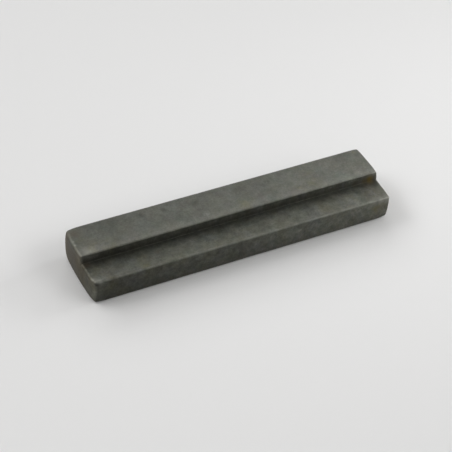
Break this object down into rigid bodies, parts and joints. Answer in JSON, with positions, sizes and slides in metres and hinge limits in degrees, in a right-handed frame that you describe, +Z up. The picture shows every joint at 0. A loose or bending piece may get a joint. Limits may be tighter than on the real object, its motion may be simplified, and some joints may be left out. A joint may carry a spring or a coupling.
{
  "type": "stepped parallel key",
  "caption": "Small rectangular bar of dark key steel with a lengthwise step: a wide base with an open ledge along its front, and a narrower raised tongue flush with its back.",
  "frame": {"origin": "middle of the seat, the flat underside of the base", "axes": "+X along the key, +Y from the open ledge to the back flank that the tongue is flush with, +Z up from the seat to the top of the tongue"},
  "size_m": [0.046, 0.01, 0.0051],
  "materials": {
    "key_steel": "matte"
  },
  "bodies": {
    "root": {"stepped_key": "key_steel"}
  },
  "joints": []
}
